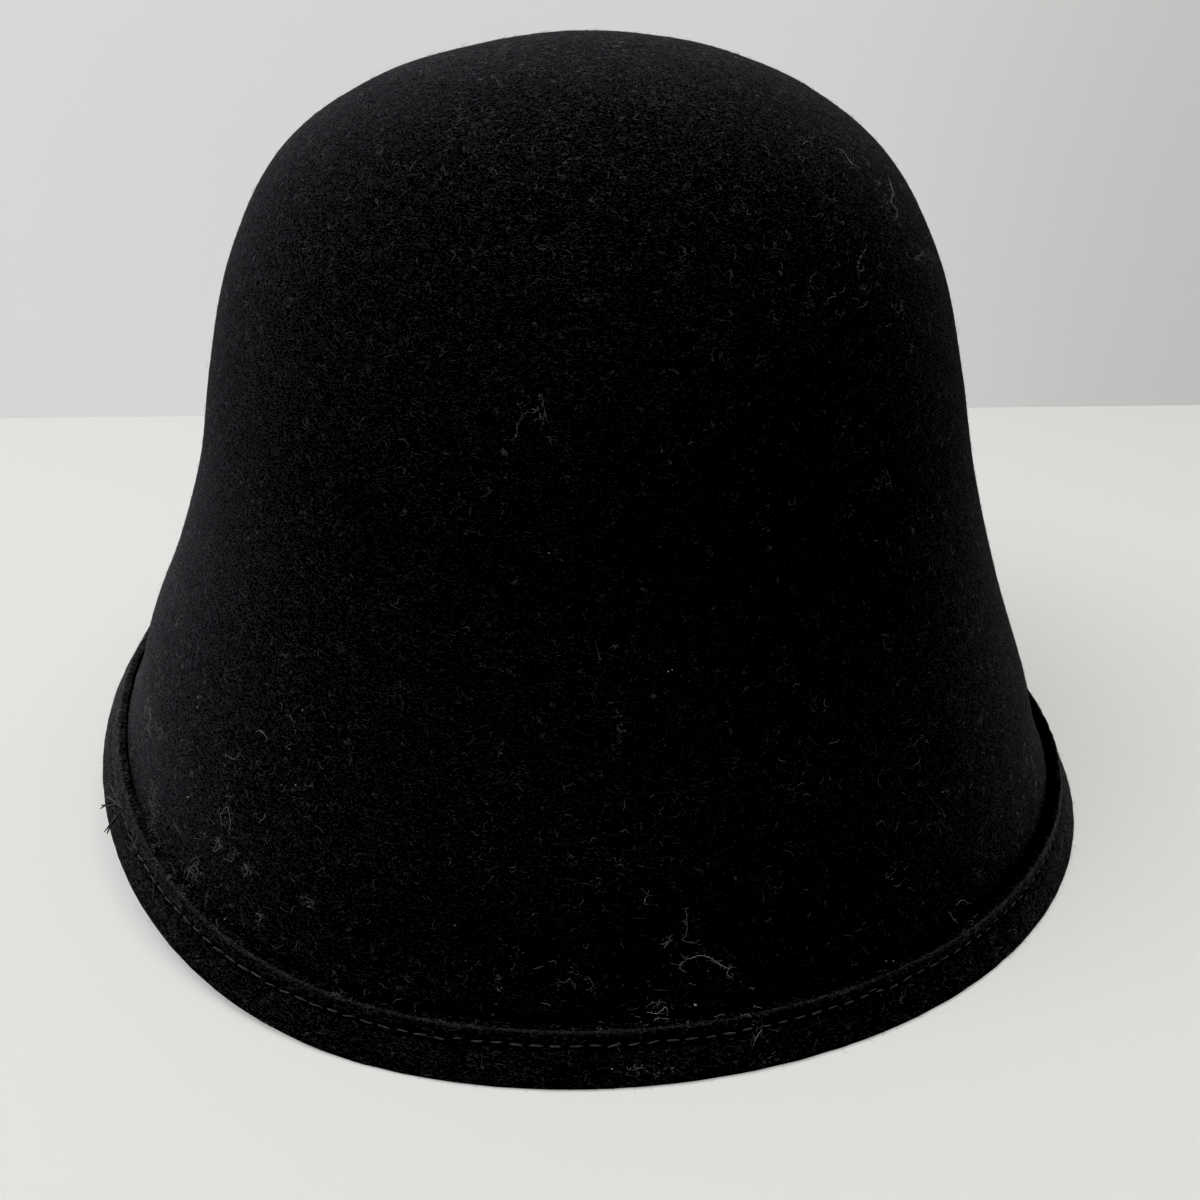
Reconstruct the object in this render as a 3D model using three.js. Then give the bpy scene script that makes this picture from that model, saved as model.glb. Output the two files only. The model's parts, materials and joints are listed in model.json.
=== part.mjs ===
// A bell-shaped felt hat that stands on its rim. One blocked felt body runs from the domed crown into the flaring
// brim, and a felt band is folded up round the brim's edge. Millimetres, +Z up. z = 0 is the surface that the rim
// rests on, and -Y is the front.
import * as THREE from "three";

// Driving dimensions
const hatHeight = 168; // from the resting surface to the top of the crown
const headLineHeight = 77; // the crown ends and the brim starts here
const headHalfWidth = 91; // outside of the wall at the head line, to each side
const headHalfDepth = 101.9; // and to the front and back
const rimHalfWidth = 117; // outside of the wall at the rim, to each side
const feltThickness = 2;
const bandHeight = 9.9;
const bandThickness = 1.8;
const fitGap = 0.3; // between the wall and the band

// How far the soft shape strays from an upright oval bell
const crownLean = 7; // the crown's top lies this far to the back
const crownShift = -2.9; // the crown's fullest part lies this far to the left
const rimWave = 3; // the rim's outline waves in and out by this much
const rimLift = 20; // the rim's left side stands this far off the surface
const softHeight = 120; // the waves and the lift die out at this height

// Each section is a height, a half-width and a sideways shift. Crown heights are shares of the height above the
// head line, and crown widths of the head's half-width.
const crownSections = [
  [1, 0, 0.4],
  [0.9965, 0.096, 0.4],
  [0.972, 0.265, 0.3],
  [0.889, 0.521, 0.85],
  [0.741, 0.731, 1.1],
  [0.518, 0.868, 1],
  [0.259, 0.946, 0.8],
  [0, 1, 0.55],
];
// Brim heights are shares of the head line's height, and brim widths of the flare from the head line to the rim.
const brimSections = [
  [0.696, 0.27, 0.45],
  [0.413, 0.575, 0.4],
  [0.173, 0.765, 0.2],
  [0, 1, 0],
];
// A wave of the rim's outline: how many times it swells in a turn, its share of the wave, and where it swells.
const rimWaves = [
  { swells: 2, share: 0.53, at: -17 },
  { swells: 3, share: 1, at: -15 },
];
const liftAt = 174; // the middle of the lifted stretch, in degrees from +X towards +Y
const liftSpread = 78; // degrees from there to where the rim is down again

// Smoothness
const sides = 60;
const crownRings = 22;

const roundToOval = headHalfDepth / headHalfWidth;

const profile = new THREE.CatmullRomCurve3(
  [
    ...crownSections.map(
      ([height, width, shift]) =>
        new THREE.Vector3(
          width * headHalfWidth,
          shift * crownShift,
          headLineHeight + height * (hatHeight - headLineHeight),
        ),
    ),
    ...brimSections.map(
      ([height, flare, shift]) =>
        new THREE.Vector3(
          headHalfWidth + flare * (rimHalfWidth - headHalfWidth),
          shift * crownShift,
          height * headLineHeight,
        ),
    ),
  ],
  false,
  "centripetal",
);
profile.arcLengthDivisions = 600;

// The place along the profile, from 0 at the crown's top to 1 at the rim, where it passes a height.
function alongAtHeight(height) {
  let low = 0;
  let high = 1;
  for (let step = 0; step < 40; step++) {
    const middle = (low + high) / 2;
    if (profile.getPointAt(middle).z > height) low = middle;
    else high = middle;
  }
  return (low + high) / 2;
}

function rimLiftAt(turn) {
  const away = Math.abs(THREE.MathUtils.euclideanModulo(turn - liftAt + 180, 360) - 180);
  if (away > liftSpread) return 0;
  return rimLift * Math.cos(((away / liftSpread) * Math.PI) / 2) ** 2;
}

function rimWaveAt(turn) {
  return rimWaves.reduce(
    (sum, wave) => sum + rimWave * wave.share * Math.cos(THREE.MathUtils.degToRad(wave.swells * (turn - wave.at))),
    0,
  );
}

// A point of the wall's outside: how far along the profile it lies, and its turn in degrees.
function wallPoint(along, turn) {
  const { x: halfWidth, y: shift, z: height } = profile.getPointAt(along);
  const softness = Math.max(0, 1 - height / softHeight) ** 2;
  const reach = halfWidth + softness * rimWaveAt(turn);
  const angle = THREE.MathUtils.degToRad(turn);
  return new THREE.Vector3(
    shift + reach * Math.cos(angle),
    (crownLean * height) / hatHeight + reach * roundToOval * Math.sin(angle),
    height + softness * rimLiftAt(turn),
  );
}

function outward(along, turn) {
  if (along === 0) return new THREE.Vector3(0, 0, 1);
  const step = 0.002;
  const down = wallPoint(Math.min(1, along + step), turn).sub(wallPoint(along - step, turn));
  const round = wallPoint(along, turn + 1).sub(wallPoint(along, turn - 1));
  return down.cross(round).normalize();
}

// A point at a height that lies a level distance outside the wall.
function besideWall(height, distance, turn) {
  const along = alongAtHeight(height);
  const round = wallPoint(along, turn + 1).sub(wallPoint(along, turn - 1));
  const level = new THREE.Vector3(round.y, -round.x, 0).normalize();
  return wallPoint(along, turn).addScaledVector(level, distance);
}

const turns = Array.from({ length: sides }, (_, side) => (side * 360) / sides);

function wallRow(along) {
  return along === 0 ? [wallPoint(0, 0)] : turns.map((turn) => wallPoint(along, turn));
}

function liningRow(along) {
  const inside = (turn) => wallPoint(along, turn).addScaledVector(outward(along, turn), -feltThickness);
  return along === 0 ? [inside(0)] : turns.map(inside);
}

function besideRow([height, distance]) {
  return turns.map((turn) => besideWall(height, distance, turn));
}

// Skins a closed body over rows of points, each once round the hat. A row of one point closes an end.
function skin(rows, meetsItself) {
  const corners = rows.flat();
  const starts = [];
  let count = 0;
  for (const row of rows) {
    starts.push(count);
    count += row.length;
  }
  const faces = [];
  const bands = meetsItself ? rows.length : rows.length - 1;
  for (let upper = 0; upper < bands; upper++) {
    const lower = (upper + 1) % rows.length;
    for (let side = 0; side < sides; side++) {
      const corner = (row, at) => starts[row] + (at % rows[row].length);
      if (rows[upper].length > 1) faces.push(corner(upper, side), corner(lower, side), corner(upper, side + 1));
      if (rows[lower].length > 1) faces.push(corner(upper, side + 1), corner(lower, side), corner(lower, side + 1));
    }
  }
  const geometry = new THREE.BufferGeometry().setFromPoints(corners);
  geometry.setIndex(faces);
  geometry.computeVertexNormals();
  return geometry;
}

// Near the rim the wall leans, so a level distance is longer than the thickness that it spans.
const bandAlong = alongAtHeight(bandHeight);
const bandRun = profile.getPointAt(1).x - profile.getPointAt(bandAlong).x;
const leanStretch = Math.hypot(bandRun, bandHeight) / bandHeight;

// The felt body ends just above the band's fold.
const wallFoot = bandThickness + fitGap;
const wallInside = -feltThickness * leanStretch;
const lowRings = [bandHeight * 0.75, bandHeight * 0.5];

function feltBody() {
  const upperAlongs = Array.from({ length: crownRings + 1 }, (_, ring) => (ring * bandAlong) / crownRings);
  const alongs = [...upperAlongs, ...lowRings.map(alongAtHeight)];
  return skin(
    [
      ...alongs.map(wallRow),
      besideRow([wallFoot, 0]),
      besideRow([wallFoot, wallInside]),
      ...alongs.slice(0, -1).reverse().map(liningRow),
    ],
    false,
  );
}

// The band's section is a hook: up the outside of the wall, and under its edge. It rests on the level underside.
function edgeBand() {
  const near = fitGap * leanStretch;
  const far = (fitGap + bandThickness) * leanStretch;
  const foldRound = 0.6 * bandThickness;
  const cutRound = 0.2 * bandThickness;
  const section = [
    [bandHeight - cutRound, far],
    [bandHeight * 0.75, far],
    [bandHeight * 0.5, far],
    [foldRound, far],
    [foldRound * 0.3, far - foldRound * 0.3],
    [0, far - foldRound],
    [0, wallInside + foldRound],
    [foldRound * 0.3, wallInside + foldRound * 0.3],
    [foldRound, wallInside],
    [bandThickness, wallInside],
    [bandThickness, near],
    [bandHeight * 0.5, near],
    [bandHeight * 0.75, near],
    [bandHeight - cutRound, near],
    [bandHeight, near + cutRound],
    [bandHeight, far - cutRound],
  ];
  return skin(section.map(besideRow), true);
}

const bodyFelt = new THREE.MeshStandardMaterial({ color: 0x121214, roughness: 0.95, metalness: 0 });
const bandFelt = new THREE.MeshStandardMaterial({ color: 0x161617, roughness: 1, metalness: 0 });

function piece(name, geometry, material) {
  const mesh = new THREE.Mesh(geometry, material);
  mesh.name = name;
  return mesh;
}

const hat = new THREE.Group();
hat.add(piece("felt_body", feltBody(), bodyFelt), piece("edge_band", edgeBand(), bandFelt));

// The origin lies under the middle of the hat.
const middle = new THREE.Box3().setFromObject(hat).getCenter(new THREE.Vector3());
hat.position.set(-middle.x, -middle.y, 0);

export default hat;
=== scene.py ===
import json
import math

import bmesh
import bpy
import numpy as np
from mathutils import Matrix, Vector, noise
from mathutils.bvhtree import BVHTree

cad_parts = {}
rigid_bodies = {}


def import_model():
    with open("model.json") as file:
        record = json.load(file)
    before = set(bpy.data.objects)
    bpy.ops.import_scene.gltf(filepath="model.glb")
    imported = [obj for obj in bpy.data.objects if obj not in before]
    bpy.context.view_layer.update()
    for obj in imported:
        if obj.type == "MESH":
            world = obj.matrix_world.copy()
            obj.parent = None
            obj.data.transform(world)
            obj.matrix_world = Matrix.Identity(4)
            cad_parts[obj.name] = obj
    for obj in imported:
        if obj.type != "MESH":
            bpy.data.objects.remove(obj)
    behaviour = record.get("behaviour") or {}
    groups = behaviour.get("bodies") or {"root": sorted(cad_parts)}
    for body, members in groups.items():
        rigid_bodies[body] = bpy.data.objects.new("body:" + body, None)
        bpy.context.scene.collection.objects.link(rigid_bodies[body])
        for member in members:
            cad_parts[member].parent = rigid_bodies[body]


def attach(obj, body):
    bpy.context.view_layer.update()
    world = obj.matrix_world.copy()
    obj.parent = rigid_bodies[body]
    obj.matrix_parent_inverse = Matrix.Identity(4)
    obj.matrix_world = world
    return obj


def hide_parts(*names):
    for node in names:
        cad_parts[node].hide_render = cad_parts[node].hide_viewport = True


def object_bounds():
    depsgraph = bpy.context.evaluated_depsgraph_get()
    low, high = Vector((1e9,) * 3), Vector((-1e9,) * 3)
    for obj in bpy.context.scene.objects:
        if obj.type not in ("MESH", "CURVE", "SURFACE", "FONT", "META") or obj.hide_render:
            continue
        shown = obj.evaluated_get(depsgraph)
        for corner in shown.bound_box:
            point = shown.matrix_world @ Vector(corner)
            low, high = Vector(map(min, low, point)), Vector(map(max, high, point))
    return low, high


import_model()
cadLow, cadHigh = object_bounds()
mm = 0.001
print("frame loaded")


# The hat's shape. A round bell is made first, and pressHat turns it into the oval, waved and leaning one.
hat = {
    "height": cadHigh.z,
    "headLineHeight": 77 * mm,
    "headHalfWidth": 91 * mm,
    "headHalfDepth": 101.9 * mm,
    "rimHalfWidth": 117 * mm,
    "feltThickness": 2 * mm,
    "bandHeight": 9.9 * mm,
    "bandThickness": 1.8 * mm,
    "bandGap": 0.3 * mm,
    "crownLean": 7 * mm,
    "crownShift": -2.9 * mm,
    "rimWave": 3 * mm,
    "rimLift": 20 * mm,
    "softHeight": 120 * mm,
    "liftAt": 174,
    "liftSpread": 78,
    # height, width and sideways shift, as shares: above the head line, then below it
    "crown": [(1, 0, 0.4), (0.9965, 0.096, 0.4), (0.972, 0.265, 0.3), (0.889, 0.521, 0.85), (0.741, 0.731, 1.1),
              (0.518, 0.868, 1), (0.259, 0.946, 0.8), (0, 1, 0.55)],
    "brim": [(0.696, 0.27, 0.45), (0.413, 0.575, 0.4), (0.173, 0.765, 0.2), (0, 1, 0)],
    # swells in a turn, share of the wave, where it swells
    "waves": [(2, 0.53, -17), (3, 1, -15)],
}


def profilePoints():
    crownRise = hat["height"] - hat["headLineHeight"]
    flare = hat["rimHalfWidth"] - hat["headHalfWidth"]
    points = [(w * hat["headHalfWidth"], s * hat["crownShift"], hat["headLineHeight"] + h * crownRise)
              for h, w, s in hat["crown"]]
    points += [(hat["headHalfWidth"] + w * flare, s * hat["crownShift"], h * hat["headLineHeight"])
               for h, w, s in hat["brim"]]
    return np.array(points)


def smoothThrough(points, steps=80):  # a centripetal spline through the points
    padded = np.vstack([2 * points[0] - points[1], points, 2 * points[-1] - points[-2]])
    out = []
    for k in range(len(points) - 1):
        a, b, c, d = padded[k:k + 4]
        ab, bc, cd = (math.sqrt(np.linalg.norm(q - p)) for p, q in ((a, b), (b, c), (c, d)))
        leave = ((b - a) / ab - (c - a) / (ab + bc) + (c - b) / bc) * bc
        arrive = ((c - b) / bc - (d - b) / (bc + cd) + (d - c) / cd) * bc
        for t in np.linspace(0, 1, steps, endpoint=False):
            t2, t3 = t * t, t * t * t
            out.append((2 * t3 - 3 * t2 + 1) * b + (t3 - 2 * t2 + t) * leave
                       + (3 * t2 - 2 * t3) * c + (t3 - t2) * arrive)
    out.append(points[-1])
    return np.array(out)


profile = smoothThrough(profilePoints())
profileLength = np.concatenate([[0], np.cumsum(np.linalg.norm(np.diff(profile[:, [0, 2]], axis=0), axis=1))])


def widthAt(height):
    return np.interp(height, profile[::-1, 2], profile[::-1, 0])


def shiftAt(height):
    return np.interp(height, profile[::-1, 2], profile[::-1, 1])


def pressed(points):  # takes points of the round bell to their places on the hat
    x, y, z = np.asarray(points, float).T
    turn = np.degrees(np.arctan2(y, x))
    reach = np.hypot(x, y)
    softness = np.clip(1 - z / hat["softHeight"], 0, 1) ** 2
    wave = sum(hat["rimWave"] * share * np.cos(np.radians(swells * (turn - at)))
               for swells, share, at in hat["waves"])
    away = np.abs((turn - hat["liftAt"] + 180) % 360 - 180)
    liftShare = np.cos(away / hat["liftSpread"] * math.pi / 2) ** 2
    lift = np.where(away < hat["liftSpread"], hat["rimLift"] * liftShare, 0)
    wide = reach + softness * wave
    deep = wide * hat["headHalfDepth"] / hat["headHalfWidth"]
    angle = np.radians(turn)
    return np.stack([
        shiftAt(z) + wide * np.cos(angle),
        hat["crownLean"] * z / hat["height"] + deep * np.sin(angle),
        z + softness * lift,
    ], axis=1)


# The band stands this near to and far from the wall, measured level, because the wall leans there.
bandRun = widthAt(0) - widthAt(hat["bandHeight"])
leanStretch = math.hypot(bandRun, hat["bandHeight"]) / hat["bandHeight"]
bandNear = hat["bandGap"] * leanStretch
bandFar = (hat["bandGap"] + hat["bandThickness"]) * leanStretch
wallInside = -hat["feltThickness"] * leanStretch

# The hat's own middle is moved onto the frame's origin.
ring = np.radians(np.arange(0, 360, 1))
rimReach = widthAt(0) + bandFar
rimLine = pressed(np.stack([rimReach * np.cos(ring), rimReach * np.sin(ring), 0 * ring], axis=1))
middle = (rimLine.min(0) + rimLine.max(0)) / 2
middle[2] = 0


def pressHat(points):
    return pressed(points) - middle


def meshPiece(name, corners, faces, material, smooth=True):
    mesh = bpy.data.meshes.new(name)
    mesh.from_pydata(np.asarray(corners).tolist(), [], faces)
    mesh.polygons.foreach_set("use_smooth", [smooth] * len(mesh.polygons))
    mesh.materials.append(material)
    piece = bpy.data.objects.new(name, mesh)
    bpy.context.scene.collection.objects.link(piece)
    return piece


def levelShare(turn):  # how far a level distance shrinks, so that the oval doesn't stretch it
    ratio = hat["headHalfDepth"] / hat["headHalfWidth"]
    return np.sqrt((ratio * np.cos(turn)) ** 2 + np.sin(turn) ** 2) / ratio


def setAttribute(piece, name, values):
    piece.data.attributes.new(name, "FLOAT", "POINT").data.foreach_set("value", values)


def spunSection(section, steps, closed, cuts=0):  # turns a section of (reach, height) once round the axis
    turns = np.arange(steps) * 2 * math.pi / steps
    spokes = np.stack([np.cos(turns), np.sin(turns)], axis=1)[:, None]
    share = np.arange(cuts + 1)[None, :, None] / (cuts + 1)  # the cuts lie on the chords between the steps
    spokes = (spokes * (1 - share) + np.roll(spokes, -1, axis=0) * share).reshape(-1, 2)
    corners, rows, faces = [], [], []
    for reach, height in section:
        around = spokes if reach else spokes[:1]  # a point on the axis stays one corner
        rows.append(range(len(corners), len(corners) + len(around)))
        corners += [(reach * x, reach * y, height) for x, y in around]
    for upper, lower in zip(rows, rows[1:] + (rows[:1] if closed else [])):
        for k in range(len(spokes)):
            n = (k + 1) % len(spokes)
            quad = [row[at % len(row)] for row, at in ((upper, k), (lower, k), (lower, n), (upper, n))]
            faces.append(list(dict.fromkeys(quad)))
    return np.array(corners), faces


# Materials

def newGroup(name, inputs, outputs):
    group = bpy.data.node_groups.new(name, "ShaderNodeTree")
    for label, kind, value in inputs:
        socket = group.interface.new_socket(label, in_out="INPUT", socket_type=kind)
        if value is not None:
            socket.default_value = value
    for label, kind in outputs:
        group.interface.new_socket(label, in_out="OUTPUT", socket_type=kind)
    start = group.nodes.new("NodeGroupInput")
    end = group.nodes.new("NodeGroupOutput")
    return group, start, end


class Wiring:  # short words for making and joining nodes
    def __init__(self, tree):
        self.tree = tree

    def add(self, kind, **values):
        node = self.tree.nodes.new(kind)
        for key, value in values.items():
            setattr(node, key, value)
        return node

    def join(self, source, target):
        self.tree.links.new(source, target)

    def put(self, socket, value):
        if isinstance(value, bpy.types.NodeSocket):
            self.join(value, socket)
        elif value is not None:
            socket.default_value = value

    def math(self, operation, a, b=None, c=None, clamp=False):
        node = self.add("ShaderNodeMath", operation=operation, use_clamp=clamp)
        for socket, value in zip(node.inputs, (a, b, c)):
            self.put(socket, value)
        return node.outputs[0]

    def noise(self, vector, scale, detail=2.0, roughness=0.5, distortion=0.0):
        node = self.add("ShaderNodeTexNoise")
        self.put(node.inputs["Vector"], vector)
        self.put(node.inputs["Scale"], scale)
        node.inputs["Detail"].default_value = detail
        node.inputs["Roughness"].default_value = roughness
        node.inputs["Distortion"].default_value = distortion
        return node.outputs["Fac"]

    def band(self, value, low, high, outLow=0.0, outHigh=1.0):
        node = self.add("ShaderNodeMapRange", interpolation_type="SMOOTHSTEP")
        ends = {"Value": value, "From Min": low, "From Max": high, "To Min": outLow, "To Max": outHigh}
        for label, item in ends.items():
            self.put(node.inputs[label], item)
        return node.outputs["Result"]

    def mixColor(self, share, a, b):  # a mix node's sockets for colours are its inputs 6 and 7, and output 2
        node = self.add("ShaderNodeMix", data_type="RGBA")
        self.put(node.inputs[0], share)
        self.put(node.inputs[6], a)
        self.put(node.inputs[7], b)
        return node.outputs[2]


# Scales are shares of the fibre scale. A pair in a name's row is where a mask starts and where it is full.
napLook = {
    "stretch": (0.7, 1, 2),  # the fibres lie more along the felt than up it
    "lineScales": (1.0, 1.7), "lineCentre": 0.47, "lineStep": 0.06, "secondLine": 0.75,
    "grainScale": 2.1, "grain": (0.53, 0.8),
    "patchScale": 0.16, "patches": (0.36, 0.66),
    "breakScale": 0.9, "breaks": (0.42, 0.6),
    "fluffScale": 0.3, "fluffWidth": 0.014, "fluffGapScale": 0.36, "fluffGaps": (0.52, 0.62),
    "mattingScale": 0.35, "mattingHeight": 0.8, "fibreHeight": 0.5,
}


def makeNapGroup():  # short pale fibre ends over black matted wool
    group, start, end = newGroup(
        "feltNap",
        [("Vector", "NodeSocketVector", None), ("Fibre Scale", "NodeSocketFloat", 420.0),
         ("Line Width", "NodeSocketFloat", 0.03), ("Patchiness", "NodeSocketFloat", 0.5)],
        [("Fibres", "NodeSocketFloat"), ("Mottle", "NodeSocketFloat"), ("Fluff", "NodeSocketFloat"),
         ("Height", "NodeSocketFloat")],
    )
    w = Wiring(group)
    place = start.outputs["Vector"]
    flatten = w.add("ShaderNodeVectorMath", operation="MULTIPLY")
    w.join(place, flatten.inputs[0])
    flatten.inputs[1].default_value = napLook["stretch"]
    laid = flatten.outputs["Vector"]

    def field(vector, share, **shape):
        return w.noise(vector, w.math("MULTIPLY", start.outputs["Fibre Scale"], share), **shape)

    lines = []
    for index, share in enumerate(napLook["lineScales"]):
        centre = napLook["lineCentre"] + napLook["lineStep"] * index
        curves = field(laid, share, detail=1.5, roughness=0.6, distortion=1.2)
        offset = w.math("ABSOLUTE", w.math("SUBTRACT", curves, centre))
        lines.append(w.band(w.math("DIVIDE", offset, start.outputs["Line Width"]), 0.0, 1.0, 1.0, 0.0))
    both = w.math("MAXIMUM", lines[0], w.math("MULTIPLY", lines[1], napLook["secondLine"]))
    grain = w.band(field(laid, napLook["grainScale"], detail=2.5, roughness=0.7), *napLook["grain"])
    patch = field(laid, napLook["patchScale"], detail=3, roughness=0.6)
    curl = field(place, napLook["fluffScale"], detail=1.5, roughness=0.5, distortion=0.8)
    away = w.math("ABSOLUTE", w.math("SUBTRACT", curl, 0.5))
    gaps = field(place, napLook["fluffGapScale"], detail=2)
    fluff = w.math("MULTIPLY", w.band(away, 0.0, napLook["fluffWidth"], 1.0, 0.0),
                   w.band(gaps, *napLook["fluffGaps"]))
    broken = field(laid, napLook["breakScale"], detail=1)
    show = w.math("MULTIPLY", w.band(patch, *napLook["patches"]), w.band(broken, *napLook["breaks"]))
    patchiness = start.outputs["Patchiness"]
    blend = w.math("ADD", w.math("MULTIPLY", show, patchiness), w.math("SUBTRACT", 1.0, patchiness))
    fibres = w.math("MULTIPLY", w.math("MAXIMUM", both, grain), blend)
    matting = field(laid, napLook["mattingScale"], detail=5, roughness=0.65)
    height = w.math("ADD", w.math("MULTIPLY", matting, napLook["mattingHeight"]),
                    w.math("MULTIPLY", fibres, napLook["fibreHeight"]))
    for label, source in (("Fibres", fibres), ("Mottle", patch), ("Fluff", fluff), ("Height", height)):
        w.join(source, end.inputs[label])
    return group


napGroup = makeNapGroup()


sheenToneHeights = (0.03, 0.1)  # between them the brim's painted sheen strength passes into the crown's


def newMaterial(name):
    material = bpy.data.materials.new(name)
    material.use_nodes = True
    nodes = material.node_tree.nodes
    return material, Wiring(material.node_tree), nodes["Principled BSDF"], nodes["Material Output"]


def feltMaterial(name, look):
    material, w, shader, _ = newMaterial(name)
    place = w.add("ShaderNodeTexCoord").outputs["Object"]
    nap = w.add("ShaderNodeGroup")
    nap.node_tree = napGroup
    w.join(place, nap.inputs["Vector"])
    for label, key in {"Fibre Scale": "fibreScale", "Line Width": "lineWidth",
                       "Patchiness": "patchiness"}.items():
        nap.inputs[label].default_value = look[key]

    def marked(attribute):  # a value that the mesh carries at its points
        return w.add("ShaderNodeAttribute", attribute_name=attribute).outputs["Fac"]

    facing = w.add("ShaderNodeLayerWeight")
    facing.inputs["Blend"].default_value = 0.5
    spot = w.add("ShaderNodeSeparateXYZ")
    w.join(place, spot.inputs[0])
    sheenTone = w.band(spot.outputs["Z"], *sheenToneHeights, look["brimSheen"], look["crownSheen"])
    # painted sheen: towards a grazing look the colours are mixed towards paler ones, more strongly on the brim
    paintedSheen = w.math("MULTIPLY", w.math("POWER", facing.outputs["Facing"], look["paintedSheenPower"]), sheenTone)
    # a painted sheen patch that the mesh's points carry adds to it
    paintedSheen = w.math("ADD", paintedSheen, marked("paintedSheenPatch"), clamp=True)
    fibre = w.mixColor(paintedSheen, look["fibre"], look["paintedSheenFibre"])
    ground = w.mixColor(paintedSheen, look["dark"], look["paintedSheenDark"])
    rough = w.math("ADD", nap.outputs["Fibres"], w.math("MULTIPLY", nap.outputs["Fluff"], look["fluff"]))
    # the raw edge shows more pale fibre: its cut fibre ends and a painted highlight
    tornEdgeHighlight = w.math("ADD", w.math("MULTIPLY", nap.outputs["Mottle"], look["rawEdgeHighlight"]), rough)
    showing = w.math("ADD", rough, w.math("MULTIPLY", marked("rawEdgeHighlight"), tornEdgeHighlight))
    # painted shade: darker where the mesh's points carry crease shade
    shade = w.math("MULTIPLY", marked("creaseShade"), look["creaseShade"])
    w.join(w.mixColor(shade, w.mixColor(showing, ground, fibre), look["dark"]), shader.inputs["Base Color"])
    w.join(w.band(nap.outputs["Mottle"], 0.2, 0.8, 0.9, 1.0), shader.inputs["Roughness"])
    for label, key in {"Specular IOR Level": "specular", "Sheen Weight": "sheen",
                       "Sheen Roughness": "sheenRoughness", "Sheen Tint": "sheenTint"}.items():
        shader.inputs[label].default_value = look[key]
    bump = w.add("ShaderNodeBump")
    bump.inputs["Strength"].default_value = look["bump"]
    bump.inputs["Distance"].default_value = look["bumpDepth"]
    w.join(nap.outputs["Height"], bump.inputs["Height"])
    w.join(bump.outputs["Normal"], shader.inputs["Normal"])
    return material


def grey(value):
    return (value, value, value, 1)


# dark and fibre are the colours seen straight on; the two colours for a grazing look are painted sheen, mixed
# in where the felt is seen edge-on
bodyFelt = feltMaterial("bodyFelt", {
    "fibreScale": 1150.0, "lineWidth": 0.035, "patchiness": 0.3, "fluff": 0.9,
    "paintedSheenPower": 3.0, "brimSheen": 1.2, "crownSheen": 0.68,
    "dark": (0.0004, 0.0004, 0.0005, 1), "fibre": (0.034, 0.0345, 0.037, 1),
    "paintedSheenDark": (0.014, 0.0142, 0.0155, 1), "paintedSheenFibre": (0.21, 0.212, 0.222, 1),
    "creaseShade": 0.9, "rawEdgeHighlight": 0.0,
    "specular": 0.0, "sheen": 0.006, "sheenRoughness": 0.35, "sheenTint": (0.8, 0.9, 1.0, 1),
    "bump": 1.0, "bumpDepth": 0.5 * mm,
})
bandFelt = feltMaterial("bandFelt", {
    "fibreScale": 900.0, "lineWidth": 0.045, "patchiness": 0.4, "fluff": 0.9,
    "paintedSheenPower": 3.0, "brimSheen": 1.0, "crownSheen": 1.0,
    "dark": grey(0.0004), "fibre": grey(0.03), "paintedSheenDark": grey(0.02), "paintedSheenFibre": grey(0.26),
    "creaseShade": 0.7, "rawEdgeHighlight": 0.45,
    "specular": 0.0, "sheen": 0.006, "sheenRoughness": 0.4, "sheenTint": (0.95, 0.98, 1.0, 1),
    "bump": 1.0, "bumpDepth": 0.6 * mm,
})
threadBlack = feltMaterial("threadBlack", {
    "fibreScale": 1600.0, "lineWidth": 0.08, "patchiness": 0.2, "fluff": 0.0,
    "paintedSheenPower": 2.0, "brimSheen": 1.0, "crownSheen": 1.0,
    "dark": grey(0.009), "fibre": grey(0.027), "paintedSheenDark": grey(0.044), "paintedSheenFibre": grey(0.135),
    "creaseShade": 0.0, "rawEdgeHighlight": 0.0,
    "specular": 0.1, "sheen": 0.0, "sheenRoughness": 0.4, "sheenTint": grey(1),
    "bump": 0.4, "bumpDepth": 0.1 * mm,
})
plain = {"grainScale": 900.0, "darkShare": 0.7, "specular": 0.2}


def plainMaterial(name, colour, roughness):  # a faint grain, for single fibres and lint
    material, w, shader, _ = newMaterial(name)
    place = w.add("ShaderNodeTexCoord").outputs["Object"]
    darker = tuple(c * plain["darkShare"] for c in colour[:3]) + (1,)
    grain = w.noise(place, plain["grainScale"], detail=2)
    w.join(w.mixColor(grain, darker, colour), shader.inputs["Base Color"])
    shader.inputs["Roughness"].default_value = roughness
    shader.inputs["Specular IOR Level"].default_value = plain["specular"]
    return material


fibreBlack = plainMaterial("fibreBlack", (0.02, 0.02, 0.022, 1), 0.8)
lintPale = plainMaterial("lintPale", (0.17, 0.17, 0.166, 1), 0.9)
lintSoft = plainMaterial("lintSoft", (0.095, 0.095, 0.093, 1), 0.9)
lintDull = plainMaterial("lintDull", grey(0.07), 0.9)
print("materials made")


# The felt body

bodyMesh = {
    "steps": 288, "outsideRows": 130, "insideRows": 84,
    "rowBunching": 1.35,  # the rows lie closer together towards the rim
    "unevenness": 0.22 * mm,
    "uneven": [(38, 0.7), (95, 0.3)],  # how fine, and its share
    "calmBelow": 6 * mm, "calmFade": 20 * mm,
    # painted shade in the crease over the band, weaker where the rim is lifted
    "creaseShadeFrom": 0.8 * mm, "creaseShadeWidth": 2.6 * mm, "creaseShade": 0.62, "creaseShadeSwing": 0.38,
    # a painted sheen line beside the band, where the rim is lifted
    "paintedSheenPatchAbove": 2.2 * mm, "paintedSheenPatchWidth": 1.6 * mm, "paintedSheenPatchAt": 170, "paintedSheenPatchSpread": 24, "paintedSheenPatch": 0.3,
}


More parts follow.
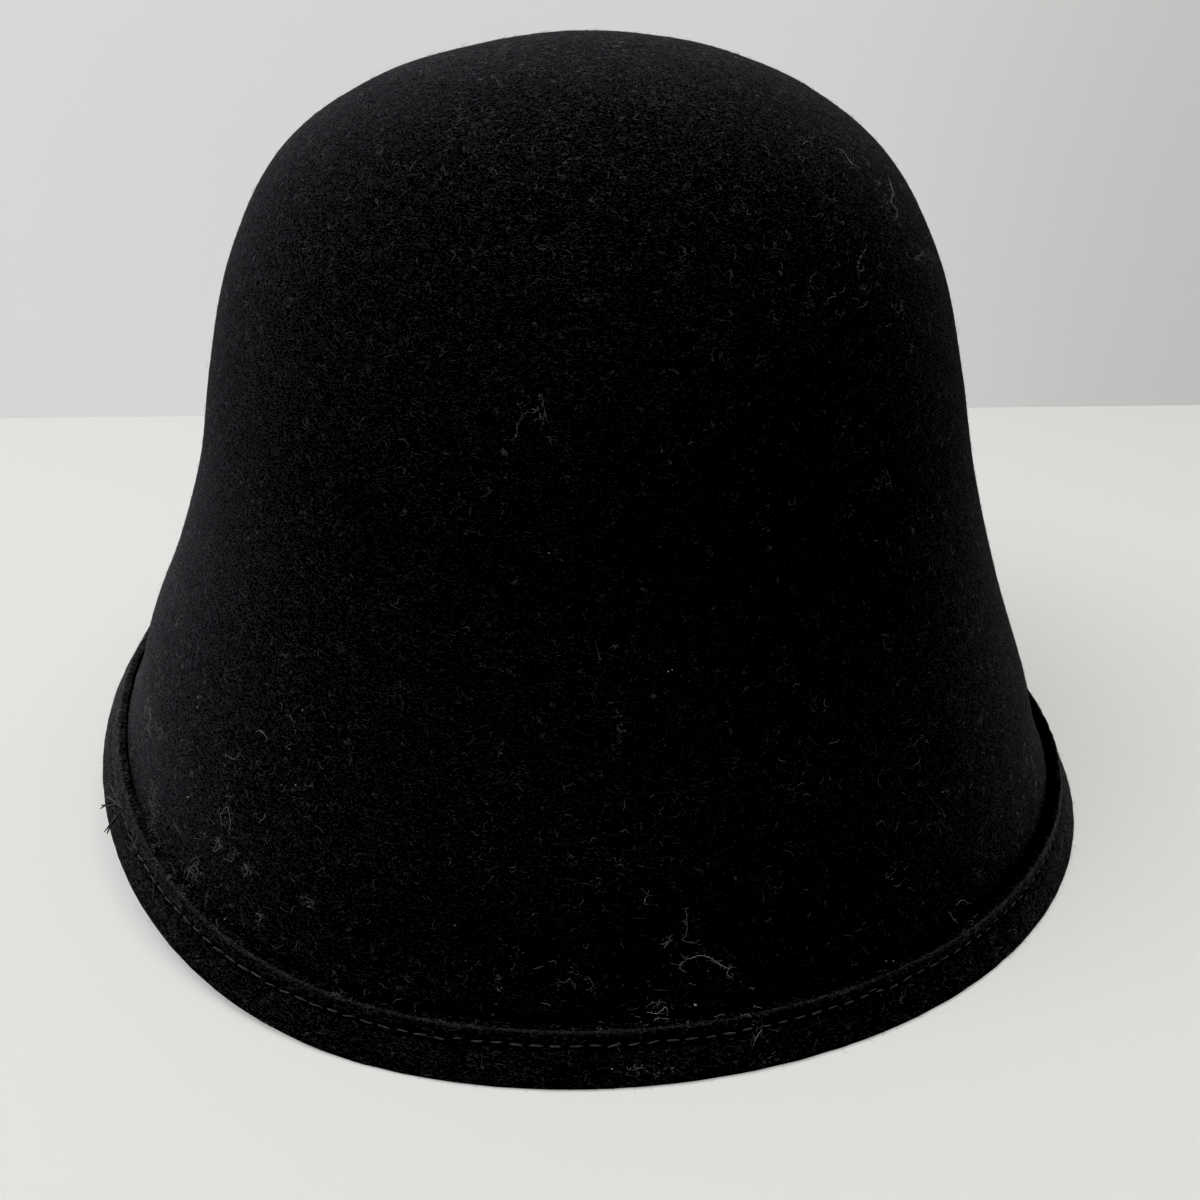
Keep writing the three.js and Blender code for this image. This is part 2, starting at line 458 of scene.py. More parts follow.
def sectionNormal(points):  # outward normals of the profile, in (reach, height)
    ahead = np.gradient(points, axis=0)
    normal = np.stack([-ahead[:, 1], ahead[:, 0]], axis=1)
    return normal / np.linalg.norm(normal, axis=1)[:, None]


def makeBody():
    foot = hat["bandThickness"] + hat["bandGap"]
    footLength = np.interp(foot, profile[::-1, 2], profileLength[::-1])
    line = profile[:, [0, 2]]

    def along(count):
        lengths = footLength * (1 - (1 - np.linspace(0, 1, count)) ** bodyMesh["rowBunching"])
        return np.stack([np.interp(lengths, profileLength, line[:, k]) for k in (0, 1)], axis=1)

    outside = along(bodyMesh["outsideRows"])
    inner = along(bodyMesh["insideRows"])
    inside = inner - sectionNormal(inner) * hat["feltThickness"]
    inside[0, 0] = 0
    inside[-1] = (outside[-1, 0] + wallInside, foot)
    inside = inside[inside[:, 1] >= foot]
    corners, faces = spunSection([*outside, *inside[::-1]], bodyMesh["steps"], closed=False)
    heights = corners[:, 2]
    turn = np.arctan2(corners[:, 1], corners[:, 0])
    places = pressHat(corners)
    piece = meshPiece("feltBody", places, faces, bodyFelt)
    outward = np.zeros(places.size)
    piece.data.vertex_normals.foreach_get("vector", outward)
    calm = np.clip((places[:, 2] - bodyMesh["calmBelow"]) / bodyMesh["calmFade"], 0, 1)
    rough = np.array([sum(noise.noise(Vector(place) * fineness) * share
                          for fineness, share in bodyMesh["uneven"]) for place in places])
    places = places + outward.reshape(-1, 3) * (rough * bodyMesh["unevenness"] * calm)[:, None]
    piece.data.vertices.foreach_set("co", places.ravel())
    piece.data.update()
    # painted shade just above the band's top
    above = (heights - hat["bandHeight"] + bodyMesh["creaseShadeFrom"]) / bodyMesh["creaseShadeWidth"]
    strength = bodyMesh["creaseShade"] + bodyMesh["creaseShadeSwing"] * np.cos(turn)
    setAttribute(piece, "creaseShade", np.clip(1 - above, 0, 1) ** 1.5 * strength)
    beside = np.exp(-((heights - hat["bandHeight"] - bodyMesh["paintedSheenPatchAbove"]) / bodyMesh["paintedSheenPatchWidth"]) ** 2)
    away = (np.degrees(turn) - bodyMesh["paintedSheenPatchAt"] + 180) % 360 - 180
    nearLift = np.exp(-(away / bodyMesh["paintedSheenPatchSpread"]) ** 2)
    setAttribute(piece, "paintedSheenPatch", bodyMesh["paintedSheenPatch"] * beside * nearLift)
    return piece


feltBody = makeBody()
print("body:", len(feltBody.data.polygons), "faces")


# The edge band, with its stitch groove

band = {
    "steps": 330, "cuts": 3, "cornerPoints": 6, "outerRows": 26, "innerRows": 8,
    "cutRadius": 0.55 * mm,  # the raw edge's corners
    "foldRadius": 1.2 * mm, "legRadius": 0.8 * mm,  # the underside's corners, outside and inside
    "foldClear": 1.6 * mm, "legClear": 0.8 * mm,  # where the straight rows stop
    "stitchBelowEdge": 2.7 * mm,
    "stitchSag": 1.3 * mm,
    "stitchPitch": 3.6 * mm,
    "grooveDepth": 0.3 * mm,
    "grooveWidth": 1.0 * mm,
    "grooveAtGaps": 0.55,  # its depth between two stitches, as a share
    "seamShadeWidth": 0.7 * mm,
    "edgeWander": 0.22 * mm,
    "wander": [(14, (0, 0, 4), 0.7), (60, (0, 0, 0), 0.5)],  # how fine, moved by, and its share
    "puff": 0.12 * mm, "puffFineness": (30, 400),  # round the hat, and up the band
    # it stands off the wall at the top, more at the right and hardly at the lifted left
    "standOff": 0.5 * mm,
    "standOffSides": 0.8 * mm,
    "closer": 0.8,
    "edgeFrom": 0.8 * mm, "edgeFade": 0.6 * mm,
    "ridgeAt": 0.93, "ridgeWidth": 0.12,  # the pale raw edge, its cut fibres and a painted highlight, as shares of the band's thickness
    # where the painted shade on the top's inner part, in the gap by the wall, starts and how wide it fades
    "gapShadeFrom": 0.9, "gapShadeWidth": 0.25,
    "paintedSheenPatch": 0.1,
}


def bandSection():
    tall, thick = hat["bandHeight"], hat["bandThickness"]
    cut, fold, leg = band["cutRadius"], band["foldRadius"], band["legRadius"]
    points = []

    def corner(height, distance, radius, start):  # a quarter turn round a centre
        for share in np.arange(band["cornerPoints"]) / (band["cornerPoints"] - 1):
            a = math.radians(start - 90 * share)
            points.append((height + radius * math.sin(a), distance + radius * math.cos(a)))

    corner(tall - cut, bandFar - cut, cut, 90)
    for h in np.linspace(tall - 2 * cut, band["foldClear"], band["outerRows"]):
        points.append((h, bandFar))
    corner(fold, bandFar - fold, fold, 0)
    corner(leg, wallInside + leg, leg, -90)
    points.append((thick, wallInside))
    points.append((thick, bandNear))
    for h in np.linspace(thick + band["legClear"], tall - 2 * cut, band["innerRows"]):
        points.append((h, bandNear))
    corner(tall - cut, bandNear + cut, cut, 180)
    return [(widthAt(h) + d, h) for h, d in points]


rimLength = np.linalg.norm(np.diff(np.vstack([rimLine, rimLine[:1]]), axis=0), axis=1)
rimTravel = np.concatenate([[0], np.cumsum(rimLength)])
wholeTurn = np.arange(0, 361, 1)
stitchCount = round(rimTravel[-1] / band["stitchPitch"])


def stitchHeightAt(turn):  # the row runs lower at the lifted left side
    sag = band["stitchSag"] * np.clip(-np.cos(turn), 0, 1) ** 2
    return hat["bandHeight"] - band["stitchBelowEdge"] - sag


def stitchTurn(number):  # the turn, in degrees, where a stitch has its middle
    return float(np.interp((number % stitchCount) / stitchCount * rimTravel[-1], rimTravel, wholeTurn))


def makeBand():
    places, faces = spunSection(bandSection(), band["steps"], closed=True, cuts=band["cuts"])
    turn = np.arctan2(places[:, 1], places[:, 0])
    reach = np.hypot(places[:, 0], places[:, 1])
    height = places[:, 2]
    spots = [Vector((math.cos(t), math.sin(t), 0)) for t in turn]
    outer = np.clip((reach - widthAt(height) - bandNear) / (bandFar - bandNear), 0, 1)
    upper = np.clip(height / hat["bandHeight"] / 0.4 - 1.5, 0, 1)
    wander = np.array([sum(noise.noise(s * fineness + Vector(moved)) * share
                           for fineness, moved, share in band["wander"]) for s in spots])
    aroundFine, upFine = band["puffFineness"]
    puff = np.array([noise.noise(s * aroundFine + Vector((0, 0, h * upFine))) for s, h in zip(spots, height)])
    phase = np.interp(np.degrees(turn) % 360, wholeTurn, rimTravel) / rimTravel[-1] * stitchCount
    fromStitches = height - stitchHeightAt(turn)
    pinch = band["grooveAtGaps"] + (1 - band["grooveAtGaps"]) * np.sin(math.pi * phase) ** 2
    groove = band["grooveDepth"] * np.exp(-(fromStitches / band["grooveWidth"]) ** 2) * pinch
    rightward, leftward = np.clip(np.stack([np.cos(turn), -np.cos(turn)]), 0, 1) ** 2
    held = 1 - band["closer"] * leftward
    standing = band["standOff"] * (held + 0.5 * wander) + band["standOffSides"] * rightward
    reach = reach + outer * (band["puff"] * puff - groove) + standing * upper ** 1.5
    height = height + upper * wander * band["edgeWander"]
    wall = widthAt(height)
    reach = wall + (reach - wall) * levelShare(turn)
    pressedPlaces = pressHat(np.stack([reach * np.cos(turn), reach * np.sin(turn), height], axis=1))
    piece = meshPiece("edgeBand", pressedPlaces, faces, bandFelt)
    top = np.clip((places[:, 2] - hat["bandHeight"] + band["edgeFrom"]) / band["edgeFade"], 0, 1)
    ridge = np.exp(-((outer - band["ridgeAt"]) / band["ridgeWidth"]) ** 2)
    # painted shade along the stitch groove, and on the top's inner part in the gap by the wall
    seamShade = np.exp(-(fromStitches / band["seamShadeWidth"]) ** 2) * (outer > 0.5) * (0.8 - 0.5 * leftward)
    gapShade = np.clip((band["gapShadeFrom"] - outer) / band["gapShadeWidth"], 0, 1)
    # a paler raw edge: cut fibre ends and a painted highlight
    setAttribute(piece, "rawEdgeHighlight", top * ridge * held)
    # painted sheen on the band's top at the lifted left
    setAttribute(piece, "paintedSheenPatch", band["paintedSheenPatch"] * top * leftward)
    setAttribute(piece, "creaseShade", np.maximum(seamShade, top * gapShade * held))
    return piece


edgeBand = makeBand()
print("band:", len(edgeBand.data.polygons), "faces")


# The stitches: one short rounded thread each, sunk at its ends

stitch = {
    "length": 3.0 * mm, "radius": 0.22 * mm, "endShare": 0.35, "sides": 8, "rings": 8,
    "seat": 0.1 * mm, "sink": 0.3 * mm,
    "heightScatter": 0.1 * mm, "slant": (0.04, 0.08),  # the slant's mean and spread
    "lengths": (0.82, 1.12), "widths": (0.75, 1.1),
    "leftRun": 0.3,  # at the left they are longer and thinner by this share
}


def copies(template, frames, bend):  # one bent copy of a small mesh in each frame of (place, run, across, out)
    corners, faces = template
    placed = []
    for number, (place, run, across, out) in enumerate(frames):
        placed.append(place + bend(corners, number) @ np.array([run, across, out]))
    offsets = np.arange(len(frames))[:, None, None] * len(corners)
    return np.concatenate(placed), (faces[None] + offsets).reshape(-1, faces.shape[1]).tolist()


def threadTemplate():  # a rounded rod along x, in quads
    shares = np.linspace(1, 0, stitch["rings"] + 1)
    swells = np.sqrt(np.maximum(0.1, 1 - np.abs(2 * shares - 1) ** 3))
    swells[-1] = stitch["endShare"]
    section = zip(stitch["radius"] * swells, (shares - 0.5) * stitch["length"])
    corners, faces = spunSection(section, stitch["sides"], closed=False)
    return corners[:, [2, 0, 1]], np.array(faces)


def onBand(height, distance, turn):
    reach = widthAt(height) + distance * levelShare(turn)
    return pressHat([[reach * math.cos(turn), reach * math.sin(turn), height]])[0]


def makeStitches():
    rng = np.random.default_rng(5)
    seat = bandFar - stitch["seat"]
    turns = [math.radians(stitchTurn(number + 0.5)) for number in range(stitchCount)]
    frames = []
    for turn in turns:
        height = stitchHeightAt(turn) + rng.normal() * stitch["heightScatter"]
        place = onBand(height, seat, turn)
        run = onBand(height, seat, turn + 0.01) - place
        run /= np.linalg.norm(run)
        up = onBand(height + mm, seat, turn) - place
        out = np.cross(run, up)
        out /= np.linalg.norm(out)
        across = np.cross(out, run)
        run = run + across * rng.normal(*stitch["slant"])
        frames.append((place, run / np.linalg.norm(run), across, out))
    leftness = np.clip([-math.cos(turn) for turn in turns], 0, 1)
    lengths = rng.uniform(*stitch["lengths"], stitchCount) * (1 + stitch["leftRun"] * leftness)
    widths = rng.uniform(*stitch["widths"], stitchCount) * (1 - stitch["leftRun"] * leftness)

    def sinkEnds(corners, number):
        sunk = corners * [lengths[number], widths[number], widths[number]]
        sunk[:, 2] -= stitch["sink"] * np.abs(corners[:, 0] / (stitch["length"] / 2)) ** 3
        return sunk

    return meshPiece("stitchRow", *copies(threadTemplate(), frames, sinkEnds), threadBlack)


stitchRow = makeStitches()
print("stitches:", stitchCount)


# Short fibres that stand a little off the felt

fuzz = {
    "bodyCount": 26000, "bandCount": 7000, "bodyStand": 0.55, "bandStand": 0.7,
    "shortest": 0.6 * mm, "longest": 1.9 * mm, "width": 0.055 * mm, "tipShare": 0.4, "blade": 0.7,
    "stops": (0, 0.35, 0.7, 1.0),  # a ribbon's rows, as shares of its length
    "overFelt": 0.03 * mm, "overTable": 0.04 * mm,
}


def fibreRibbons(name, roots, normals, seed, material, stand):
    rng = np.random.default_rng(seed)
    count = len(roots)
    lengths = fuzz["shortest"] + (fuzz["longest"] - fuzz["shortest"]) * rng.random(count) ** 2
    loose = rng.normal(size=(count, 3))
    along = loose - normals * np.sum(loose * normals, axis=1)[:, None]
    along /= np.linalg.norm(along, axis=1)[:, None]
    side = np.cross(normals, along)
    bend = rng.normal(scale=0.5, size=count)
    lift = rng.random(count) ** 3 * stand
    rows = []
    for t in fuzz["stops"]:
        centre = (roots + along * (lengths * t)[:, None] + side * (lengths * bend * t * t)[:, None]
                  + normals * (lengths * lift * t * (1.6 - 0.9 * t) + fuzz["overFelt"])[:, None])
        half = fuzz["width"] * (1 - (1 - fuzz["tipShare"]) * t) / 2
        blade = side * fuzz["blade"] + normals * fuzz["blade"]
        rows.append(np.stack([centre - blade * half, centre + blade * half], axis=1))
    perFibre = 2 * len(rows)
    corners = np.stack(rows, axis=1).reshape(count, perFibre, 3)
    corners[..., 2] = np.maximum(corners[..., 2], fuzz["overTable"])
    quads = np.array([[k, k + 1, k + 3, k + 2] for k in range(0, perFibre - 2, 2)])
    faces = (np.arange(count)[:, None, None] * perFibre + quads).reshape(-1, 4).tolist()
    return meshPiece(name, corners.reshape(-1, 3), faces, material, smooth=False)


def facingOut(centres, normals):
    return (np.sum(centres[:, :2] * normals[:, :2], axis=1) + 0.05 * normals[:, 2] > 0).astype(float)


def scatterOn(piece, count, seed):  # places on the outer faces of a piece, and their normals
    rng = np.random.default_rng(seed)
    faces = piece.data.polygons

    def read(name, width):
        values = np.zeros(len(faces) * width)
        faces.foreach_get(name, values)
        return values.reshape(-1, width)

    areas = read("area", 1)[:, 0]
    centres, normals = read("center", 3), read("normal", 3)
    weights = areas * facingOut(centres, normals)
    chosen = rng.choice(len(areas), size=count, p=weights / weights.sum())
    jitter = rng.normal(size=(count, 3)) * np.sqrt(areas[chosen])[:, None] * 0.35
    jitter -= normals[chosen] * np.sum(jitter * normals[chosen], axis=1)[:, None]
    return centres[chosen] + jitter, normals[chosen]


bodyFibres = fibreRibbons("bodyFibres", *scatterOn(feltBody, fuzz["bodyCount"], 11), 12, fibreBlack,
                          fuzz["bodyStand"])
bandFibres = fibreRibbons("bandFibres", *scatterOn(edgeBand, fuzz["bandCount"], 13), 14, fibreBlack,
                          fuzz["bandStand"])
print("fibres:", fuzz["bodyCount"] + fuzz["bandCount"])


# Lint and stray fibres, each laid on the felt where the photograph shows it

cameraSpot = {"place": (-0.33 * mm, -284.54 * mm, 171.49 * mm), "pitch": 26.02, "roll": 1.465,
              "focal": 36.1, "sensor": 36}
cameraTurn = (
    Matrix.Translation(cameraSpot["place"])
    @ Matrix.Rotation(math.radians(90 - cameraSpot["pitch"]), 4, "X")
    @ Matrix.Rotation(math.radians(cameraSpot["roll"]), 4, "Z")
)
photoSize = 1200
lint = {
    "fibreRadius": 0.047 * mm, "curlRadius": 0.05 * mm, "speckRadius": 0.17 * mm, "endRadius": 0.2 * mm,
    "fibreLift": 0.12 * mm, "fibreArch": 0.18 * mm, "curlLift": 0.1 * mm, "endLift": 0.15 * mm,
    "kink": 0.07, "curlBend": 0.55, "brightFrom": 0.6,
    "pixelsPerCurl": 3.5, "tuftSpread": 3.2,
    # areas of the photograph, and how many faint curls are strewn there
    "curlAreas": [((130, 640, 330, 960), 90), ((330, 800, 700, 1010), 60), ((760, 680, 1040, 960), 60),
                  ((800, 120, 930, 330), 36), ((380, 60, 820, 300), 40), ((230, 300, 480, 640), 40),
                  ((840, 420, 960, 640), 16), ((120, 860, 1040, 1080), 60)],
    # a fibre per row: brightness, then its points in the photograph
    "fibres": [
        (0.8, [(834, 148), (842, 154), (848, 162), (856, 167), (862, 171)]),
        (0.6, [(888, 178), (891, 192), (889, 200), (894, 210), (897, 218)]),
        (0.6, [(910, 258), (918, 262), (922, 254), (932, 262)]),
        (0.4, [(867, 243), (860, 262), (858, 275)]),
        (0.5, [(897, 304), (893, 310), (898, 317), (903, 309), (899, 300)]),
        (0.5, [(858, 284), (862, 290), (866, 287)]),
        (0.7, [(802, 145), (808, 142)]),
        (0.6, [(686, 912), (688, 926), (686, 937), (698, 943)]),
        (1.0, [(680, 953), (684, 960), (694, 958), (705, 960), (715, 964), (725, 968), (731, 967)]),
        (0.7, [(684, 960), (681, 968), (686, 972)]),
        (0.6, [(731, 967), (729, 974), (733, 978)]),
        (0.6, [(664, 948), (668, 942), (670, 937)]),
        (0.8, [(653, 1022), (661, 1020), (670, 1019)]),
        (0.5, [(645, 1008), (655, 1004), (663, 1002)]),
        (0.6, [(646, 1012), (656, 1010), (664, 1004), (667, 1014)]),
        (0.6, [(748, 988), (755, 987)]),
        (0.7, [(753, 1006), (762, 1009)]),
        (0.6, [(754, 1042), (757, 1035), (762, 1029)]),
        (0.5, [(740, 1016), (747, 1014), (752, 1018)]),
        (0.7, [(610, 648), (614, 644), (616, 650)]),
        (0.5, [(538, 397), (543, 394), (548, 404), (553, 408), (550, 416), (543, 420)]),
        (0.5, [(540, 420), (537, 412), (533, 418), (522, 419), (516, 430)]),
        (0.5, [(516, 422), (516, 436), (510, 441)]),
        (0.4, [(595, 640), (598, 650), (600, 660)]),
        (0.5, [(153, 783), (156, 790), (153, 797)]),
        (0.5, [(151, 806), (156, 811), (153, 818)]),
        (0.6, [(149, 706), (152, 716), (148, 726), (151, 736)]),
        (0.7, [(160, 727), (163, 735), (159, 740)]),
        (0.6, [(256, 732), (262, 731), (267, 738)]),
        (0.6, [(222, 826), (224, 818), (229, 812), (232, 826), (229, 834)]),
        (0.5, [(178, 818), (176, 826), (181, 834)]),
        (0.8, [(216, 846), (221, 840), (224, 848), (218, 852), (216, 846)]),
        (0.7, [(224, 858), (230, 862), (234, 854), (236, 848)]),
        (0.9, [(244, 877), (250, 873), (247, 866), (252, 875)]),
        (0.8, [(259, 823), (264, 820), (266, 814)]),
        (0.8, [(186, 880), (190, 872), (194, 866), (198, 872), (196, 880)]),
        (0.7, [(190, 862), (195, 858), (198, 866)]),
        (0.6, [(168, 862), (174, 866), (176, 874)]),
        (0.6, [(226, 796), (233, 797)]),
        (0.5, [(208, 891), (208, 900), (206, 908)]),
        (0.7, [(256, 912), (262, 920), (258, 926)]),
        (0.7, [(305, 896), (312, 897), (314, 906)]),
        (0.5, [(316, 872), (322, 868)]),
        (0.6, [(240, 752), (234, 757), (226, 754)]),
        (0.4, [(236, 764), (238, 774)]),
        (0.6, [(956, 906), (962, 900), (968, 903)]),
        (0.6, [(950, 912), (954, 920), (959, 924)]),
        (0.5, [(893, 858), (891, 872), (884, 880)]),
        (0.5, [(936, 806), (941, 812), (944, 822)]),
        (0.5, [(1032, 768), (1036, 778), (1034, 790), (1038, 800)]),
        (0.5, [(884, 466), (890, 476), (886, 484)]),
        (0.4, [(872, 484), (880, 490)]),
        (0.4, [(474, 966), (480, 960)]),
        (0.6, [(497, 987), (501, 991)]),
        (0.5, [(556, 978), (562, 984), (570, 980), (576, 990)]),
        (0.5, [(588, 976), (593, 984), (589, 990)]),
        (0.5, [(246, 334), (252, 342)]),
    ],
    # tufts: a line in the photograph, and how many curls cling to it
    "tufts": [
        ([(153, 783), (154, 800), (153, 820), (157, 850)], 110), ([(188, 862), (196, 880)], 26),
        ([(218, 840), (234, 860)], 22), ([(224, 818), (232, 834)], 12), ([(244, 866), (252, 877)], 12),
        ([(150, 700), (150, 740)], 16), ([(152, 640), (160, 690)], 14), ([(300, 896), (316, 906)], 12),
        ([(258, 912), (260, 926)], 10), ([(109, 790), (120, 815)], 26), ([(106, 752), (110, 780)], 8),
        ([(622, 1072), (636, 1068), (650, 1068)], 24), ([(656, 1070), (673, 1068)], 12),
        ([(748, 1044), (756, 1030), (764, 1014)], 16), ([(765, 1060), (778, 1056)], 8),
        ([(645, 1006), (666, 1010)], 14), ([(680, 956), (731, 968)], 12), ([(728, 966), (734, 980)], 8),
        ([(666, 938), (674, 948)], 8), ([(604, 700), (618, 716)], 6), ([(520, 400), (552, 424)], 12),
        ([(570, 970), (600, 990)], 14), ([(500, 940), (520, 952)], 8), ([(560, 1030), (700, 1024)], 20),
        ([(240, 330), (256, 346)], 8), ([(300, 240), (330, 262)], 8), ([(470, 130), (500, 140)], 8),
        ([(640, 92), (664, 104)], 8), ([(880, 180), (896, 216)], 8), ([(910, 256), (932, 262)], 8),
    ],
    # loose ends of the stitching thread: points in the photograph, the last ones past the outline
    "threadEnds": [
        [(121, 793), (114, 799), (107, 804), (100, 809)],
        [(118, 803), (110, 806), (101, 805)],
        [(126, 806), (119, 815), (112, 823), (104, 832)],
        [(124, 810), (115, 819), (110, 827), (107, 834)],
        [(110, 783), (114, 792), (118, 800), (115, 807)],
        [(108, 797), (114, 801), (122, 808)],
    ],
    # specks: size, place
    "specks": [
        (1.4, (695, 1005)), (1.0, (886, 961)), (1.0, (893, 961)), (0.8, (645, 900)), (0.9, (668, 671)),
        (0.8, (672, 670)), (0.9, (549, 553)), (1.0, (942, 792)), (1.0, (1017, 813)), (0.9, (303, 710)),
        (0.9, (188, 797)), (0.8, (290, 749)), (1.0, (205, 834)), (0.8, (282, 785)), (0.8, (296, 785)),
        (0.9, (225, 919)), (0.9, (310, 907)), (0.9, (183, 667)), (0.8, (881, 207)), (0.9, (198, 707)),
        (0.8, (183, 740)), (0.9, (189, 797)), (0.9, (612, 1069)), (0.8, (455, 925)),
    ],
}


eye = Vector(cameraSpot["place"])
surfaces = [BVHTree.FromObject(piece, bpy.context.evaluated_depsgraph_get()) for piece in (feltBody, edgeBand)]


def rayThrough(x, y):
    across = (x - photoSize / 2) / photoSize * cameraSpot["sensor"]
    up = (photoSize / 2 - y) / photoSize * cameraSpot["sensor"]
    return (cameraTurn.to_3x3() @ Vector((across, up, -cameraSpot["focal"]))).normalized()


def feltAt(x, y):  # the felt's place and normal behind a point of the photograph
    hits = [tree.ray_cast(eye, rayThrough(x, y)) for tree in surfaces]
    hits = [hit for hit in hits if hit[0] is not None]
    return min(hits, key=lambda hit: hit[3])[:2] if hits else None


def raised(place, normal, height):
    return np.array(place) + np.array(normal) * height


def threadAlong(points, normals, radius, sides=4):  # a thin tube through places, tapering at its ends
    points, normals = np.array(points), np.array(normals)
    tiny = 1e-12  # keeps a run of no length from dividing by nothing
    runs = np.gradient(points, axis=0)
    runs /= np.linalg.norm(runs, axis=1)[:, None] + tiny
    side = np.cross(normals, runs)
    side /= np.linalg.norm(side, axis=1)[:, None] + tiny
    up = np.cross(runs, side)
    share = np.linspace(-1, 1, len(points))
    taper = radius * np.sqrt(1 - 0.85 * share ** 4)
    turns = np.arange(sides) * 2 * math.pi / sides
    rings = (points[:, None] + taper[:, None, None] * (np.cos(turns)[None, :, None] * side[:, None]
                                                       + np.sin(turns)[None, :, None] * up[:, None]))
    around = [(j, (j + 1) % sides, sides + (j + 1) % sides, sides + j) for j in range(sides)]
    faces = [[k * sides + corner for corner in quad] for k in range(len(points) - 1) for quad in around]
    return rings.reshape(-1, 3), np.array(faces)


def joinedMesh(name, parts, material):
    corners, faces, count = [], [], 0
    for partCorners, partFaces in parts:
        corners.append(partCorners)
        faces.append(partFaces + count)
        count += len(partCorners)
    return meshPiece(name, np.concatenate(corners), np.concatenate(faces).tolist(), material)


def bentLine(points, steps):  # a smooth line through points of the photograph
    points = np.array(points, float)
    if len(points) == 2:
        points = np.array([points[0], points.mean(0), points[1]])
    at = np.linspace(0, len(points) - 1, steps)
    lower = np.minimum(at.astype(int), len(points) - 2)
    t = (at - lower)[:, None]
    padded = np.vstack([2 * points[0] - points[1], points, 2 * points[-1] - points[-2]])
    a, b, c, d = (padded[lower + k] for k in range(4))
    return 0.5 * (2 * b + (c - a) * t + (2 * a - 5 * b + 4 * c - d) * t ** 2
                  + (3 * b - 3 * c + d - a) * t ** 3)


def curlAt(spot, step, radius, rng, steps=12):  # a small curl of lint from a point of the photograph
    turn = np.cumsum(rng.normal(0, lint["curlBend"], steps)) + rng.uniform(0, 2 * math.pi)
    line = spot + np.cumsum(np.stack([np.cos(turn), np.sin(turn)], axis=1) * step, axis=0)
    places = [feltAt(x, y) for x, y in line]
    if not all(places):
        return []
    spots = [raised(place, normal, lint["curlLift"]) for place, normal in places]
    return [threadAlong(spots, [normal for _, normal in places], radius, sides=3)]


def curlsAlong(line, rng, count=None, spread=1.3):  # the fluff that clings to a thread or a tuft
    curls = []
    length = np.linalg.norm(np.diff(line, axis=0), axis=1).sum()
    for _ in range(count or int(length / lint["pixelsPerCurl"])):
        spot = line[rng.integers(len(line))] + rng.normal(0, spread, 2)
        curls += curlAt(spot, rng.uniform(0.4, 0.9), lint["curlRadius"] * rng.uniform(0.4, 0.9), rng, 7)
    return curls


def scatteredCurls(rng):  # small faint curls of lint, thickest where the photograph has most
    curls = []
    for (x0, y0, x1, y1), count in lint["curlAreas"]:
        for _ in range(count):
            spot = np.array([rng.uniform(x0, x1), rng.uniform(y0, y1)])
            curls += curlAt(spot, rng.uniform(0.4, 1.3), lint["curlRadius"] * rng.uniform(0.6, 1.1), rng)
    return curls


def speckAt(spot, size, rng):  # an uneven grain on the felt
    place, normal = feltAt(*spot)
    bm = bmesh.new()
    bmesh.ops.create_icosphere(bm, subdivisions=1, radius=lint["speckRadius"] * size)
    for v in bm.verts:
        v.co = v.co * (1 + 0.3 * rng.normal()) + place + normal * lint["fibreLift"]
    corners = np.array([v.co for v in bm.verts])
    faces = np.array([[v.index for v in f.verts] for f in bm.faces])
    bm.free()
    return corners, faces


def makeLint():
    rng = np.random.default_rng(21)
    threads = {"bright": [], "faint": [], "fluff": []}
    for brightness, points in lint["fibres"]:
        line = bentLine(points, 9 * len(points))
        kinks = np.cumsum(np.cumsum(rng.normal(scale=lint["kink"], size=line.shape), axis=0), axis=0)
        line = line + kinks - np.linspace(kinks[0], kinks[-1], len(line))
        places = [feltAt(x, y) for x, y in line]
        places = [place for place in places if place]
        if len(places) < 3:
            continue
        arch = np.sin(np.linspace(0, math.pi, len(places)))
        lift = lint["fibreLift"] + lint["fibreArch"] * rng.random() * arch
        spots = [raised(*place, height) for place, height in zip(places, lift)]
        kind = "bright" if brightness >= lint["brightFrom"] else "faint"
        radius = lint["fibreRadius"] * rng.uniform(0.5, 0.8 + brightness / 4)
        threads[kind].append(threadAlong(spots, [normal for _, normal in places], radius))
        threads["fluff"] += curlsAlong(line, rng)
    for line, count in lint["tufts"]:
        threads["fluff"] += curlsAlong(bentLine(line, 40), rng, count, lint["tuftSpread"])
    threads["faint"] += scatteredCurls(rng)
    specks = [speckAt(spot, size, rng) for size, spot in lint["specks"]]
    return [
        joinedMesh("lintBright", threads["bright"], lintPale),
        joinedMesh("lintFaint", threads["faint"], lintDull),
        joinedMesh("lintFluff", threads["fluff"], lintSoft),
        joinedMesh("lintSpecks", specks, lintPale),
    ]


def makeThreadEnds():  # they lie over the band and stand out past its outline
    parts = []
    for points in lint["threadEnds"]:
        spots, normals = [], []
        for x, y in bentLine(points, 14):
            hit = feltAt(x, y)
            if hit:
                place, normal = hit
                depth = (place - eye).length
                spots.append(raised(place, normal, lint["endLift"]))
                normals.append(np.array(normal))
            else:  # past the outline it keeps the last depth
                spots.append(np.array(eye + rayThrough(x, y) * depth))
                normals.append(normals[-1])
        parts.append(threadAlong(spots, normals, lint["endRadius"]))
    return joinedMesh("threadEnds", parts, threadBlack)


threadEnds = makeThreadEnds()
lintPieces = makeLint()
print("lint:", len(lint["fibres"]), "fibres,", len(lint["specks"]), "specks")


for piece, cadNode, slotName in ((feltBody, "felt_body", "body_felt"), (edgeBand, "edge_band", "band_felt")):
    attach(piece, "root")
    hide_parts(cadNode)
for piece in (stitchRow, threadEnds, *lintPieces):
    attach(piece, "root")
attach(bodyFibres, "root")
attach(bandFibres, "root")


# Table, wall, lights and camera

